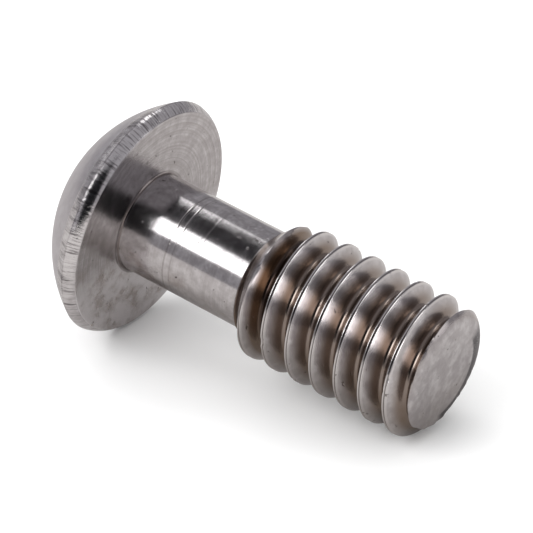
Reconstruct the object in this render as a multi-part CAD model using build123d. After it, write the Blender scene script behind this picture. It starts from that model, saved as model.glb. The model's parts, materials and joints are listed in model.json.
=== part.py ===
"""Captive button-head bolt, 1/4 in - 20 thread, stainless steel.

One turned and thread-rolled piece: a domed head with a hexagon socket, a plain
shank turned thinner than the thread, and a right-hand thread with a rounded end.
Millimetres. The bolt is made upright on the Z axis, with its bearing face at
z = 0 and its thread towards +Z, and is then laid down as it comes to rest, on
the rim of its head and on its thread, with its tip towards +X and +Z up.
"""
from build123d import *
from math import atan, cos, degrees, hypot, pi, radians, sin, sqrt, tan
import os

os.makedirs("parts", exist_ok=True)

# Head
head_diameter = 11.1            # at its widest, just behind the bearing face
head_height = 3.25              # from the bearing face to the flat of the crown
crown_flat_diameter = 4.8       # small flat round the socket's mouth
bearing_face_diameter = 10.5
rim_setback = 0.55              # from the bearing face back to the widest circle
rim_bulge = 0.05                # how far the rim stands out from a straight bevel

# Hexagon socket in the crown
socket_across_flats = 3.97
socket_depth = 2.2              # down to the end of the flats
socket_point_angle = 118        # drilled bottom, full angle of its cone
socket_lead_in = 0.1            # chamfer at the mouth, out from the corners

# Plain shank, thinner than the root of the thread, which keeps the bolt captive
shank_diameter = 4.62
shank_length = 6.33             # from the bearing face to where the thread's cone starts
shank_root_fillet = 0.12

# Thread: right hand, 60 degree profile with a rounded root
bolt_length = 15.875            # from the bearing face to the tip
thread_diameter = 6.35
pitch = 1.27
flank_angle = 60                # between the two flanks of a groove
root_radius = 0.183             # round at the bottom of the groove
lead_angle = 45                 # slope of the cone where the thread starts
point_round = 0.9               # rounded edge at the tip
groove_bearing = 202            # degrees round from +X to the groove's line, at the bearing face's level
rolling_allowance = 0.04        # the thread's form is made this much proud, then trimmed by the blank
flank_spans = 8                 # spans of the curve that stands for a flank
root_spans = 6                  # and of the one that stands for the root


def arc_round_axis(start, end):
    """An arc from start to end, in a section (r, z), on a sphere centred on the bolt's axis."""
    centre_z = (end[0] ** 2 + end[1] ** 2 - start[0] ** 2 - start[1] ** 2) / (2 * (end[1] - start[1]))
    radius = hypot(start[0], start[1] - centre_z)
    middle_r = (start[0] + end[0]) / 2
    return ThreePointArc(start, (middle_r, centre_z - sqrt(radius ** 2 - middle_r ** 2)), end)


def bulged_arc(start, end, bulge):
    """An arc from start to end that stands out from its chord, away from the axis, by bulge."""
    run_r = end[0] - start[0]
    run_z = end[1] - start[1]
    chord = hypot(run_r, run_z)
    middle_r = (start[0] + end[0]) / 2 + bulge * run_z / chord
    middle_z = (start[1] + end[1]) / 2 - bulge * run_r / chord
    return ThreePointArc(start, (middle_r, middle_z), end)


def quarter_arc(start, end, centre):
    """A quarter circle from start to end about centre."""
    radius = hypot(start[0] - centre[0], start[1] - centre[1])
    out_r = (start[0] + end[0]) / 2 - centre[0]
    out_z = (start[1] + end[1]) / 2 - centre[1]
    out = hypot(out_r, out_z)
    middle = (centre[0] + radius * out_r / out, centre[1] + radius * out_z / out)
    return ThreePointArc(start, middle, end)


def turned(outline):
    """A body of revolution from an outline in (r, z)."""
    return revolve(Plane.XZ * make_face(outline), Axis.Z)


def head_and_shank():
    """The domed head, its bearing face and the plain shank, as turned."""
    head_r = head_diameter / 2
    shank_r = shank_diameter / 2
    crown = (0, -head_height)
    crown_edge = (crown_flat_diameter / 2, -head_height)
    widest = (head_r, -rim_setback)
    face_edge = (bearing_face_diameter / 2, 0)
    fillet_out = (shank_r + shank_root_fillet, 0)
    fillet_in = (shank_r, shank_root_fillet)
    fillet_centre = (fillet_out[0], fillet_in[1])
    shank_end = (shank_r, shank_length)
    return turned([
        Line(crown, crown_edge),
        arc_round_axis(crown_edge, widest),
        bulged_arc(widest, face_edge, rim_bulge),
        Line(face_edge, fillet_out),
        quarter_arc(fillet_out, fillet_in, fillet_centre),
        Line(fillet_in, shank_end),
        Line(shank_end, (0, shank_length)),
        Line((0, shank_length), crown),
    ])


def hexagon_socket():
    """The socket as a solid to cut away: hexagon, drilled bottom and lead-in."""
    corner_r = socket_across_flats / 2 / cos(pi / 6)
    flat_r = socket_across_flats / 2
    mouth_r = corner_r + socket_lead_in
    point_depth = flat_r / tan(radians(socket_point_angle / 2))
    hexagon = Plane.XY.offset(-head_height) * extrude(RegularPolygon(corner_r, 6), socket_depth)
    bottom = Pos(0, 0, socket_depth - head_height + point_depth / 2) * Cone(flat_r, 0, point_depth)
    lead_in = Pos(0, 0, mouth_r / 2 - head_height) * Cone(mouth_r, 0, mouth_r)
    return hexagon + bottom + lead_in


def threaded_end_blank():
    """The plain blank that the thread is rolled on: start cone, cylinder and rounded tip."""
    shank_r = shank_diameter / 2
    thread_r = thread_diameter / 2
    cone_length = (thread_r - shank_r) / tan(radians(lead_angle))
    cone_start = (shank_r, shank_length)
    cone_end = (thread_r, shank_length + cone_length)
    round_start = (thread_r, bolt_length - point_round)
    round_end = (thread_r - point_round, bolt_length)
    round_centre = (round_end[0], round_start[1])
    return turned([
        Line((0, shank_length), cone_start),
        Line(cone_start, cone_end),
        Line(cone_end, round_start),
        quarter_arc(round_start, round_end, round_centre),
        Line(round_end, (0, bolt_length)),
        Line((0, bolt_length), (0, shank_length)),
    ])


def thread_rod(length):
    """A rod with the thread's form, from z = 0, a little over size at its crests.

    Every cross-section of a screw thread is the same shape, turned a little
    further. It is the profile of one pitch, wound once round the axis, so the
    rod is that shape extruded with one full twist for each pitch.
    """
    half_angle = radians(flank_angle / 2)
    crest_flat = pitch / 8
    crest_r = thread_diameter / 2 + rolling_allowance
    sharp_r = thread_diameter / 2 - (pitch - crest_flat) / 2 / tan(half_angle)
    half_mouth = (crest_r - sharp_r) * tan(half_angle)
    root_centre_r = sharp_r + root_radius / sin(half_angle)
    half_root = root_radius * cos(half_angle)

    def wound(z, r):
        """The cross-section's point that stands for the profile's point z along the axis, r out."""
        return (r * cos(2 * pi * z / pitch), r * sin(2 * pi * z / pitch))

    def flank_point(z):
        return wound(z, sharp_r + abs(z) / tan(half_angle))

    def root_point(z):
        return wound(z, root_centre_r - sqrt(root_radius ** 2 - z ** 2))

    def curve(point, start, end, spans):
        return Spline(*[point(start + (end - start) * i / spans) for i in range(spans + 1)])

    section = make_face([
        curve(flank_point, -half_mouth, -half_root, flank_spans),
        curve(root_point, -half_root, half_root, root_spans),
        curve(flank_point, half_root, half_mouth, flank_spans),
        ThreePointArc(flank_point(half_mouth), wound(pitch / 2, crest_r), flank_point(-half_mouth)),
    ])
    twist = 360 * length / pitch
    return Solid.extrude_linear_with_rotation(section.face(), (0, 0, 0), (0, 0, length), twist)


def threaded_end():
    """The blank's end with the thread in it: what lies in both the blank and the rod."""
    spare = pitch / 2
    rod_start = shank_length - spare
    rod = thread_rod(bolt_length + spare - rod_start)
    turned_by = groove_bearing + 360 * rod_start / pitch
    return threaded_end_blank() & Pos(0, 0, rod_start) * Rot(0, 0, turned_by) * rod


def laid_down(upright):
    """Turn the bolt from upright to lying on its rim and its thread, on z = 0."""
    drop = (head_diameter - thread_diameter) / 2
    span = bolt_length - point_round + rim_setback
    lying = Rot(0, 90 + degrees(atan(drop / span)), 0) * upright
    box = lying.bounding_box()
    middle = box.center()
    return Pos(-middle.X, -middle.Y, -box.min.Z) * lying


bolt = laid_down(head_and_shank() - hexagon_socket() + threaded_end())
export_step(bolt, "parts/bolt.step")
print("bolt", round(bolt.volume, 1), "mm3,", len(bolt.solids()), "solid,", bolt.bounding_box().size)
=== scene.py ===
import bmesh
import bpy
import json
from math import asin, atan2, cos, hypot, pi, radians, sin, tan
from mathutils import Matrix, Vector


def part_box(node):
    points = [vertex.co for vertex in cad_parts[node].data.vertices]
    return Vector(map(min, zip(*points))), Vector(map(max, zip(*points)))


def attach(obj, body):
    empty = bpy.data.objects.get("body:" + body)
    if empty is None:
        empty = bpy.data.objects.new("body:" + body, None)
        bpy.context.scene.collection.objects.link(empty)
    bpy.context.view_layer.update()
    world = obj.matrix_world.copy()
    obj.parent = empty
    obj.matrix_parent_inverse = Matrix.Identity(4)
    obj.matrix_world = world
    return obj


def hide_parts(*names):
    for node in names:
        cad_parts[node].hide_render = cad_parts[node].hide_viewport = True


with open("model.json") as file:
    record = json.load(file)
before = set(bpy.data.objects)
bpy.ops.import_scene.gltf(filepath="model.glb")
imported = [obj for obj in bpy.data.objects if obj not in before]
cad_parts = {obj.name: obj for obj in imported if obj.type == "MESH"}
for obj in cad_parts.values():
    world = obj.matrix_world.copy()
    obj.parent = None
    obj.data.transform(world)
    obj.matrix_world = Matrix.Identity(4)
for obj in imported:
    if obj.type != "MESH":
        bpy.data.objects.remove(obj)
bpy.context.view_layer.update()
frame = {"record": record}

record = frame["record"]
mm = 0.001


# ---------------------------------------------------------------- the bolt's form
# A captive button-head bolt of stainless steel, lying on the rim of its head and on
# its thread. One piece: domed head with a hexagon socket, a turned shank thinner than
# the thread, and a rolled right-hand thread whose first ridge is only partly formed.
head_r, head_height, crown_flat_r = 5.55, 3.25, 2.4
face_edge_r, rim_setback, rim_bulge = 5.25, 0.55, 0.05
socket_flat_r, socket_depth, socket_lead_in, socket_point_angle = 3.97 / 2, 2.2, 0.1, 118
shank_r, shank_length, shank_root_fillet = 2.31, 6.33, 0.12
bolt_length, thread_r, pitch, root_radius, point_round = 15.875, 3.175, 1.27, 0.183, 0.9
groove_bearing = 202
around = 324                    # steps round the axis, a whole number to each side of the hexagon

bearing = next(m for m in record["mounts"] if m["name"] == "bearing_face")
lowest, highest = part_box("bolt")
bearing_centre = Vector((bearing["pos_m"][0], 0, bearing["pos_m"][2]))
dip = asin((head_r - thread_r) / hypot(head_r - thread_r, bolt_length - point_round + rim_setback))


class Wire:
    """A node's socket that Python's own arithmetic can be written on."""

    def __init__(self, tree, socket):
        self.tree, self.socket = tree, socket

    def node(self, kind, ins=(), out=0, **settings):
        return new_node(self.tree, kind, ins, out, **settings)

    def maths(self, operation, *values, clamp=False):
        return self.node("ShaderNodeMath", (self, *values), operation=operation, use_clamp=clamp)

    def __add__(self, other): return self.maths("ADD", other)
    def __sub__(self, other): return self.maths("SUBTRACT", other)
    def __mul__(self, other): return self.maths("MULTIPLY", other)
    def __truediv__(self, other): return self.maths("DIVIDE", other)
    def __rsub__(self, other): return (self * -1) + other
    def __neg__(self): return self * -1
    __radd__, __rmul__ = __add__, __mul__

    def least(self, other): return self.maths("MINIMUM", other)
    def most(self, other): return self.maths("MAXIMUM", other)
    def above(self, other): return self.maths("GREATER_THAN", other)
    def root(self): return self.maths("SQRT")
    def kept(self): return self.maths("ADD", 0, clamp=True)

    def step(self, low, high):
        """0 below low, 1 above high, smooth between."""
        ends = {0: self, 1: low, 2: high, 3: 0, 4: 1}
        return self.node("ShaderNodeMapRange", ends, interpolation_type="SMOOTHSTEP")

    def hump(self, low, high, soft):
        """1 between low and high, 0 outside, soft at both ends."""
        return self.step(low - soft, low + soft) * (1 - self.step(high - soft, high + soft))


def new_node(tree, kind, ins=(), out=0, **settings):
    """Adds a node, sets it, joins or sets its inputs and gives one of its outputs."""
    node = tree.nodes.new(kind)
    for name, value in settings.items():
        setattr(node, name, value)
    for key, value in (ins.items() if isinstance(ins, dict) else enumerate(ins)):
        if isinstance(value, Wire):
            tree.links.new(value.socket, node.inputs[key])
        else:
            node.inputs[key].default_value = value
    return Wire(tree, node.outputs[out])


def arc(start, end, centre, steps):
    """Points from start to end on a circle about centre, the short way round."""
    first = atan2(start[1] - centre[1], start[0] - centre[0])
    turn = (atan2(end[1] - centre[1], end[0] - centre[0]) - first + pi) % (2 * pi) - pi
    radius = hypot(start[0] - centre[0], start[1] - centre[1])
    bearings = [first + turn * i / steps for i in range(steps + 1)]
    return [(centre[0] + radius * cos(b), centre[1] + radius * sin(b)) for b in bearings]


def straight(start, end, steps):
    """Points from start to end on a line."""
    return [tuple(s + (e - s) * i / steps for s, e in zip(start, end)) for i in range(steps + 1)]


PLAIN, HEXED, WOUND = 0, 1, 2
rows = []                       # (radius, distance along the axis, kind) from the socket's point to the tip


def add(points, kind=PLAIN):
    rows.extend((r, z, kind) for r, z in points)


corner_r = socket_flat_r / cos(pi / 6)
mouth_r = corner_r + socket_lead_in
floor_z = socket_depth - head_height
point_z = floor_z + socket_flat_r / tan(radians(socket_point_angle / 2))
lead_in_end = mouth_r - socket_flat_r - head_height
crown_gap = (head_r ** 2 + rim_setback ** 2) - (crown_flat_r ** 2 + head_height ** 2)
crown_middle = crown_gap / (2 * (head_height - rim_setback))
add(straight((0, point_z), (socket_flat_r, floor_z), 3))
add(straight((0, floor_z), (0, lead_in_end), 4), HEXED)
add(straight((socket_flat_r, lead_in_end), (mouth_r, -head_height), 5)[1:], HEXED)
add(arc((crown_flat_r, -head_height), (head_r, -rim_setback), (0, crown_middle), 26))
bevel = hypot(head_r - face_edge_r, rim_setback)
bulge_out = (bevel ** 2 / 4 - rim_bulge ** 2) / (2 * rim_bulge)
bevel_turn = atan2(rim_setback, face_edge_r - head_r)
bulge_centre = ((head_r + face_edge_r) / 2 - bulge_out * sin(bevel_turn),
                bulge_out * cos(bevel_turn) - rim_setback / 2)
add(arc((head_r, -rim_setback), (face_edge_r, 0), bulge_centre, 8))
fillet_out = shank_r + shank_root_fillet
add(straight((face_edge_r, 0), (fillet_out, 0), 14))
add(arc((fillet_out, 0), (shank_r, shank_root_fillet), (fillet_out, shank_root_fillet), 5))
add(straight((shank_r, shank_root_fillet), (shank_r, shank_length), 16))

# the thread's rows follow the groove, so they are given by where they lie across one pitch of it
half_angle = pi / 6
sharp_r = thread_r - pitch * 7 / 16 / tan(half_angle)
root_centre_r = sharp_r + root_radius / sin(half_angle)
half_root = root_radius * cos(half_angle)
half_mouth = (thread_r - sharp_r) * tan(half_angle)
half_crest = pitch / 2 - half_mouth
half_groove = [half_root * i / 3 for i in range(4)]
half_groove += [half_root + (half_mouth - half_root) * i / 6 for i in range(1, 7)]
across = sorted({round(sign * w, 6) for w in half_groove for sign in (-1, 1)})
across += [half_mouth + half_crest * share for share in (0.3, 1, 1.7)]
turns_before, turns_after = 2, 2
for turn in range(-turns_before, int((bolt_length - shank_length) / pitch) + turns_after):
    add([(0, shank_length + turn * pitch + w) for w in across], WOUND)
add(straight((thread_r - point_round, bolt_length), (0, bolt_length), 12))

outline = bpy.data.meshes.new("bolt_outline")
outline.from_pydata([(r * mm, 0, z * mm) for r, z, _ in rows], [(i, i + 1) for i in range(len(rows) - 1)], [])
kinds = outline.attributes.new("kind", "INT", "POINT")
kinds.data.foreach_set("value", [kind for _, _, kind in rows])
bolt = bpy.data.objects.new("bolt_surface", outline)
bpy.context.scene.collection.objects.link(bolt)

tree = bpy.data.node_groups.new("wound bolt", "GeometryNodeTree")
tree.interface.new_socket("Outline", in_out="INPUT", socket_type="NodeSocketGeometry")
sizes = {"Pitch": pitch * mm, "Groove bearing": radians(groove_bearing), "Thread radius": thread_r * mm,
         "Sharp radius": sharp_r * mm, "Root centre radius": root_centre_r * mm,
         "Root radius": root_radius * mm,
         "Half root": half_root * mm, "Half mouth": half_mouth * mm, "Shank radius": shank_r * mm,
         "Thread start": shank_length * mm, "Thread end": bolt_length * mm, "Point round": point_round * mm,
         "Hexagon": socket_flat_r * mm, "Dip": pi / 2 + dip, "Crest seam": 0.035 * mm,
         "Nick depth": 0.05 * mm, "Worn side": radians(26), "Worn edge": 3.0 * mm, "Worn slope": 0.78}
kinds_of_input = {name: "Float" for name in sizes} | {"Around": "Int", "Rows": "Int", "Steel": "Material"}
ids = {}
for name, kind in kinds_of_input.items():
    ids[name] = tree.interface.new_socket(name, in_out="INPUT", socket_type="NodeSocket" + kind).identifier
tree.interface.new_socket("Surface", in_out="OUTPUT", socket_type="NodeSocketGeometry")
given = tree.nodes.new("NodeGroupInput")
g = {s.name: Wire(tree, s) for s in given.outputs if s.name}

def sampled(data_type, value):
    """The outline's own value at this vertex's row."""
    ins = {"Geometry": g["Outline"], "Value": value, "Index": row}
    return new_node(tree, "GeometryNodeSampleIndex", ins, data_type=data_type, domain="POINT")


def split(tree, vector):
    """A vector's three numbers."""
    node = new_node(tree, "ShaderNodeSeparateXYZ", (vector,)).socket.node
    return [Wire(tree, output) for output in node.outputs]


mesh_size = {"Size X": 1.0, "Size Y": 1.0, "Vertices X": g["Rows"], "Vertices Y": g["Around"] + 1}
grid = new_node(tree, "GeometryNodeMeshGrid", mesh_size)
place = new_node(tree, "GeometryNodeInputPosition")
across_rows, round_axis, _ = split(tree, place)
row = ((across_rows + 0.5) * (g["Rows"] - 1)).maths("ROUND")
angle = (round_axis + 0.5) * (2 * pi)
drawn_r, _, drawn_z = split(tree, sampled("FLOAT_VECTOR", place))
kind = sampled("INT", new_node(tree, "GeometryNodeInputNamedAttribute", {"Name": "kind"}, data_type="INT"))
is_hexed = 1 - (kind - HEXED).maths("ABSOLUTE").least(1)
is_wound = 1 - (kind - WOUND).maths("ABSOLUTE").least(1)

# the hexagon: the nearest flat's distance at this angle
side = (angle / (pi / 3)).maths("FRACT") * (pi / 3) - pi / 6
hexagon_r = drawn_r.most(g["Hexagon"] / side.maths("COSINE"))

# the thread: the rolled blank, cut back to the groove wherever the groove is deeper
advance = g["Pitch"] * (angle - g["Groove bearing"]) / (2 * pi)
along = (drawn_z + advance).most(g["Thread start"]).least(g["Thread end"])
phase = (along - advance - g["Thread start"]) / g["Pitch"]
wide = (phase - phase.maths("ROUND")).maths("ABSOLUTE") * g["Pitch"]
flank = g["Sharp radius"] + wide / tan(half_angle)
hollow = (g["Root radius"] * g["Root radius"] - wide * wide).most(0).root()
in_root = 1 - wide.above(g["Half root"])
groove = flank + (g["Root centre radius"] - hollow - flank) * in_root
seam = ((wide - g["Half mouth"]) / (g["Pitch"] / 2 - g["Half mouth"])).most(0)
crest = g["Thread radius"] - g["Crest seam"] * seam.step(0.25, 1.0)
cone = g["Shank radius"] + (along - g["Thread start"])
past = (along - (g["Thread end"] - g["Point round"])).most(0)
round_off = (g["Point round"] * g["Point round"] - past * past).most(0).root()
round_r = g["Thread radius"] - g["Point round"] + round_off

# small nicks in the crests, and an edge worn flat at one side of the tip
cosine, sine = angle.maths("COSINE"), angle.maths("SINE")
ring = new_node(tree, "ShaderNodeCombineXYZ", (cosine * 2.4, sine * 2.4, along / mm))
nicks = new_node(tree, "ShaderNodeTexNoise", {"Vector": ring, "Scale": 1.6, "Detail": 3.0})
nicked_crest = crest - nicks.step(0.62, 0.74) * g["Nick depth"]
ragged = (nicks - 0.5) * g["Nick depth"] * 4
towards_worn = (angle - g["Worn side"]).maths("COSINE").most(0.3)
past_round = along - g["Thread end"] + g["Point round"]
worn = (g["Worn edge"] - past_round * g["Worn slope"] + ragged) / towards_worn
thread = groove.least(nicked_crest).least(cone).least(round_r).least(worn)

radius = drawn_r + (hexagon_r - drawn_r) * is_hexed + (thread - drawn_r) * is_wound
height = drawn_z + (along - drawn_z) * is_wound
spot = new_node(tree, "ShaderNodeCombineXYZ", (radius * cosine, radius * sine, height))
placed = new_node(tree, "GeometryNodeSetPosition", {"Geometry": grid, "Position": spot})
closed = new_node(tree, "GeometryNodeMergeByDistance", {"Geometry": placed, "Distance": 1e-7})
turned = new_node(tree, "ShaderNodeCombineXYZ", (0, g["Dip"], 0))
lay = {"Geometry": closed, "Translation": tuple(bearing_centre), "Rotation": turned}
laid = new_node(tree, "GeometryNodeTransform", lay)
real = new_node(tree, "GeometryNodeRealizeInstances", (laid,))
clad = new_node(tree, "GeometryNodeSetMaterial", {"Geometry": real, "Material": g["Steel"]})
shown = tree.nodes.new("NodeGroupOutput")
tree.links.new(clad.socket, shown.inputs[0])

steel = bpy.data.materials.new("worn stainless steel")
winding = bolt.modifiers.new("wound bolt", "NODES")
winding.node_group = tree
for name, value in sizes.items():
    winding[ids[name]] = float(value)
winding[ids["Around"]], winding[ids["Rows"]], winding[ids["Steel"]] = around, len(rows), steel
surface = bpy.data.meshes.new_from_object(bolt.evaluated_get(bpy.context.evaluated_depsgraph_get()))
bolt.modifiers.clear()
bolt.data = surface
surface.materials.clear()
surface.materials.append(steel)

# slivers where the thread's rows end go, and the faces point outwards
work = bmesh.new()
work.from_mesh(surface)
bmesh.ops.dissolve_degenerate(work, dist=1e-8, edges=work.edges)
if work.calc_volume(signed=True) < 0:
    bmesh.ops.reverse_faces(work, faces=work.faces)
work.to_mesh(surface)
work.free()
surface.polygons.foreach_set("material_index", [0] * len(surface.polygons))
surface.shade_smooth()
surface.set_sharp_from_angle(angle=radians(32))

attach(bolt, "root")
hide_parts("bolt")


# ---------------------------------------------------------------- the steel's finish
# Satin stainless steel, turned and rolled: fine rings round the axis on the head and
# shank, a faint mottle everywhere, brown stains on the lower shank and brown patina in the grooves,
# with painted shade in the grooves, on the underside and at the shank's root, painted highlights
# on the crests, the bevel and the bearing face, and a painted dark reflection at the tip's rim.
steel.use_nodes = True
shader = steel.node_tree
shader.nodes.clear()
where = new_node(shader, "ShaderNodeTexCoord", out="Object")
about = new_node(shader, "ShaderNodeVectorMath", (where, tuple(bearing_centre)), operation="SUBTRACT")
upright = {"Vector": about, "Angle": -(pi / 2 + dip)}
stood = new_node(shader, "ShaderNodeVectorRotate", upright, rotation_type="Y_AXIS")
scaled = new_node(shader, "ShaderNodeVectorMath", {0: stood, "Scale": 1 / mm}, operation="SCALE")
x, y, z = split(shader, scaled)
r = (x * x + y * y).root()


def noise(vector, scale, detail, rough):
    ins = {"Vector": vector, "Scale": scale, "Detail": detail, "Roughness": rough}
    return new_node(shader, "ShaderNodeTexNoise", ins)


def stretched(a, b, c):
    """A noise's place from three lengths in millimetres, each with its own stretch."""
    return new_node(shader, "ShaderNodeCombineXYZ", (a, b, c))


def blend(share, low, high):
    return new_node(shader, "ShaderNodeMix", {0: share, 6: low, 7: high}, out=2, data_type="RGBA")


# where on the bolt a point is, in millimetres from the bearing face and out from the axis
phi = y.maths("ARCTAN2", x)
turn_at = (z - shank_length) / pitch - (phi - radians(groove_bearing)) / (2 * pi)
from_groove = (turn_at - turn_at.maths("ROUND")).maths("ABSOLUTE") * pitch

below = (x + 0.4).step(0.0, 2.2)
on_head = 1 - z.step(-0.03, 0.0)
on_rim = z.hump(-1.0, -0.02, 0.12) * on_head * r.step(4.0, 4.4)
on_bevel = z.hump(-0.5, -0.02, 0.03) * on_head * r.step(4.0, 4.4)
on_face = z.hump(-0.02, 0.06, 0.02) * r.step(2.42, 2.5)
root_shade = z.hump(0.0, 0.1, 0.03) * (1 - r.step(2.45, 2.5))
on_shank = z.hump(0.06, 6.35, 0.03)
on_thread = z.step(6.3, 6.5)
on_tip = z.step(15.6, 15.84)
first_turn = 1 - z.step(7.6, 9.0)
in_groove = on_thread * (1 - r.step(2.55, 3.12)) * (1 - on_tip)
# painted shade: the groove behind the partly formed first ridge painted near black
first_groove_shade = on_thread * first_turn * (1 - from_groove.step(0.03, 0.2))
on_crest = on_thread * r.step(3.06, 3.13)
# painted shade along the middle of the crests, in the seam of the rolled thread
crest_seam_shade = on_crest * from_groove.step(0.585, 0.625)

# what the tools, the rolling and the handling left on it, and painted light: a highlight on the bevel and a
# dark reflection at the tip's rim
grain = noise(scaled, 16.0, 4.0, 0.7)
mottle = noise(scaled, 2.2, 5.0, 0.62)
rings = noise(stretched(r * 13.0, 0.3, z * 13.0), 1.0, 4.0, 0.75)
wide_rings = noise(stretched(r * 2.6, 7.0 + phi * 0.15, z * 2.0), 1.0, 2.0, 0.6)
strokes = noise(stretched(x / r * 46.0, y / r * 46.0, z * 0.8), 1.0, 4.0, 0.75)
flats = noise(stretched(x / r * 12.0, y / r * 12.0, z * 0.5), 1.0, 3.0, 0.6)
scratches = noise(stretched(x * 11.0, y * 0.8, z * 2.0), 1.0, 3.0, 0.7)
blotch = noise(stretched(x * 0.8, y * 0.8, z * 0.5), 1.0, 5.0, 0.65)
pits = noise(scaled, 3.3, 2.0, 0.5).step(0.70, 0.75)
marks = z.hump(2.42, 2.5, 0.03) + z.hump(2.78, 2.83, 0.03) * 0.8 + z.hump(3.9, 3.94, 0.03) * 0.4
stain = (blotch.step(0.44, 0.68) * below * (on_shank + on_face * 0.7) * 0.85).kept()
# painted dark reflection in the round at the tip's rim, on one side, made ragged with the grain
dark_rim_side = (phi - 1.08).maths("COSINE").step(0.4, 0.6)
tip_rim_dark_reflection = z.step(15.1, 15.3) * (r + grain * 0.3).step(2.13, 2.24) * dark_rim_side
# painted highlight on the bevel, brighter towards one side and broken by the strokes
bevel_highlight = on_bevel * (1 - strokes.step(0.45, 0.65)) * (y * -0.1 - x * 0.14).kept()
dark_strokes = (strokes.step(0.45, 0.65) + flats.step(0.5, 0.7) * 0.6) * on_rim

# each layer lies over the ones before it
layers = [
    (on_head * 0.6 * (1 - on_rim), (0.43, 0.41, 0.44)),
    (rings.step(0.35, 0.65) * (on_face * 0.55 + on_shank * 0.2), (0.36, 0.33, 0.32)),
    (dark_strokes * 0.7, (0.15, 0.135, 0.14)),
    (bevel_highlight, (0.86, 0.84, 0.84)),
    # painted reflection: the bearing face near white towards its lower side
    (on_face * (x - 0.2).step(0.0, 2.0) * 0.8, (0.97, 0.95, 0.97)),
    # brown patina in the grooves with painted shade over it, darker on the first turn and on the underside
    (in_groove * (0.6 + mottle * 0.4 + first_turn * 0.5 + below * 0.2), (0.225, 0.165, 0.125)),
    (first_groove_shade, (0.05, 0.035, 0.03)),
    # painted highlight on the thread's crests
    (on_crest * 0.7, (0.78, 0.75, 0.74)),
    (crest_seam_shade * 0.75, (0.12, 0.10, 0.09)),
    # painted shade: the thread and shank darker brown on their underside
    (on_thread * below * 0.35 + on_shank * below * 0.25, (0.22, 0.18, 0.15)),
    (on_tip * blotch.step(0.45, 0.6) * 0.5, (0.36, 0.33, 0.34)),
    (stain, (0.30, 0.235, 0.19)),
    # painted shade in the corner at the shank's root, and the real rings marked on the shank
    (root_shade * 0.8 + marks * on_shank * 0.3, (0.12, 0.09, 0.08)),
    (tip_rim_dark_reflection * (1 - grain.step(0.55, 0.7)) * 0.85, (0.04, 0.035, 0.04)),
    (pits * 0.8 * (1 - on_head), (0.10, 0.08, 0.07)),
]
colour = blend(mottle.step(0.35, 0.7), (0.50, 0.475, 0.48, 1), (0.68, 0.66, 0.665, 1))
for share, paint in layers:
    colour = blend(share.kept(), colour, (*paint, 1))

satin_head = on_head * (1 - on_rim)
rough = 0.11 + mottle * 0.07 + satin_head * 0.18 + on_face * 0.07
rough = (rough + on_thread * 0.06 + on_tip * 0.12 + stain * 0.15).kept()

# depths in millimetres
relief = grain * 0.0009 * (1 - on_shank * 0.75)
relief += mottle * 0.0018 * (1 - on_shank * 0.5 - on_face * 0.9)
relief += rings * 0.003 * (on_face * 1.6 + on_shank * 0.5 + on_head * 0.25)
relief += marks * 0.003 * on_shank + wide_rings * 0.006 * on_face
relief += strokes * 0.010 * on_rim + flats * 0.014 * on_rim + strokes * 0.0015 * on_thread
relief += scratches.step(0.6, 0.75) * -0.003 * on_head + blotch * 0.006 * on_tip - pits * 0.01
bumped = new_node(shader, "ShaderNodeBump", {"Height": relief, "Strength": 1.0, "Distance": mm}, out="Normal")
finish = {"Base Color": colour, "Roughness": rough, "Metallic": 1.0, "Normal": bumped}
metal = new_node(shader, "ShaderNodeBsdfPrincipled", finish)
end = shader.nodes.new("ShaderNodeOutputMaterial")
shader.links.new(metal.socket, end.inputs[0])


# ---------------------------------------------------------------- floor
# A plain pale sheet of paper that the bolt lies on. The bolt mirrors it as grey, so
# that the underside of the shank and the thread keep their depth.
bpy.ops.mesh.primitive_plane_add(size=2.0, location=(0, 0, 0))
floor = bpy.context.object
floor.name = "floor"
paper = bpy.data.materials.new("pale paper")
paper.use_nodes = True
sheet = paper.node_tree
seen = new_node(sheet, "ShaderNodeLightPath", out="Is Camera Ray")
tones = {0: seen, 6: (0.52, 0.50, 0.49, 1), 7: (0.97, 0.97, 0.97, 1)}
tone = new_node(sheet, "ShaderNodeMix", tones, out=2, data_type="RGBA")
sheet.links.new(tone.socket, sheet.nodes["Principled BSDF"].inputs["Base Color"])
sheet.nodes["Principled BSDF"].inputs["Roughness"].default_value = 0.9
floor.data.materials.append(paper)


# ---------------------------------------------------------------- studio
# Four soft boxes over a pale room that reflections show as grey, and two black cards:
# one behind the camera, and a narrow one overhead between the two large boxes.
middle = Vector((0, 0, 0.005))


def soft_box(name, towards, distance, width, height, strength):
    """A soft box that faces the bolt, its strength given as the brightness it shows."""
    lamp = bpy.data.lights.new(name, "AREA")
    lamp.shape, lamp.size, lamp.size_y = "RECTANGLE", width, height
    lamp.energy = strength * pi * width * height
    box = bpy.data.objects.new(name, lamp)
    box.location = middle + Vector(towards).normalized() * distance
    box.rotation_euler = Vector(towards).to_track_quat("Z", "Y").to_euler()
    bpy.context.scene.collection.objects.link(box)


soft_box("front box", (-0.33, -0.66, 0.66), 0.5, 0.42, 0.27, 3.3)
soft_box("back box", (-0.30, 0.42, 0.86), 0.5, 0.5, 0.13, 2.0)
soft_box("left box", (-1.0, 0.35, 0.62), 0.5, 0.3, 0.22, 1.3)
soft_box("right box", (1.0, 0.5, 0.25), 0.5, 0.2, 0.2, 0.9)


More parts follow.
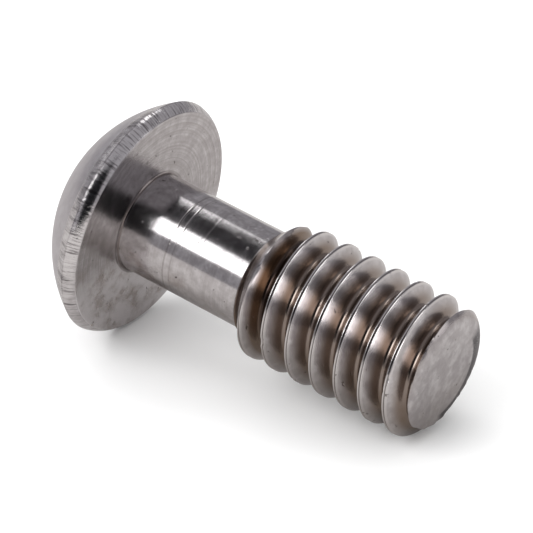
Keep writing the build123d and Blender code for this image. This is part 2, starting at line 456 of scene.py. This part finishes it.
def dark_card(name, towards, distance, width, height):
    """A black card that only reflections show."""
    bpy.ops.mesh.primitive_plane_add(size=1.0, location=middle + Vector(towards).normalized() * distance)
    card = bpy.context.object
    card.name, card.scale = name, (width, height, 1)
    card.rotation_euler = Vector(towards).to_track_quat("Z", "Y").to_euler()
    card.data.materials.append(black)
    card.visible_camera = card.visible_diffuse = card.visible_shadow = False


black = bpy.data.materials.new("black cloth")
black.use_nodes = True
black.node_tree.nodes["Principled BSDF"].inputs["Base Color"].default_value = (0.01, 0.01, 0.012, 1)
black.node_tree.nodes["Principled BSDF"].inputs["Specular IOR Level"].default_value = 0.0
dark_card("card_behind_camera", (0.507, -0.703, 0.40), 0.34, 0.30, 0.36)
dark_card("card_overhead", (-0.29, 0.0, 0.95), 0.36, 0.5, 0.055)

room = bpy.data.worlds.new("room")
bpy.context.scene.world = room
room.use_nodes = True
air = room.node_tree
air.nodes.clear()
plain = new_node(air, "ShaderNodeBackground", {"Color": (1.0, 1.0, 1.0, 1), "Strength": 1.0})
dim = new_node(air, "ShaderNodeBackground", {"Color": (0.33, 0.32, 0.34, 1), "Strength": 1.0})
glossy = new_node(air, "ShaderNodeLightPath", out="Is Glossy Ray")
both = new_node(air, "ShaderNodeMixShader", {0: glossy, 1: plain, 2: dim})
air_end = air.nodes.new("ShaderNodeOutputWorld")
air.links.new(both.socket, air_end.inputs[0])


# ---------------------------------------------------------------- camera
# Above the tip and to one side of it, with a long lens and no roll.
lens_aim = Vector((0.0, 0.12, 5.17)) * mm
camera_bearing, camera_height, camera_distance = radians(-54.22), radians(29.90), 173.24 * mm
level = cos(camera_height)
towards_camera = Vector((level * cos(camera_bearing), level * sin(camera_bearing), sin(camera_height)))
eye = bpy.data.cameras.new("camera")
eye.sensor_width, eye.lens = 36.0, 270.2
eye.clip_start, eye.clip_end = 0.005, 10
camera = bpy.data.objects.new("camera", eye)
camera.location = lens_aim + towards_camera * camera_distance
camera.rotation_euler = towards_camera.to_track_quat("Z", "Y").to_euler()
bpy.context.scene.collection.objects.link(camera)
bpy.context.scene.camera = camera
bpy.context.scene.view_settings.view_transform = "Standard"
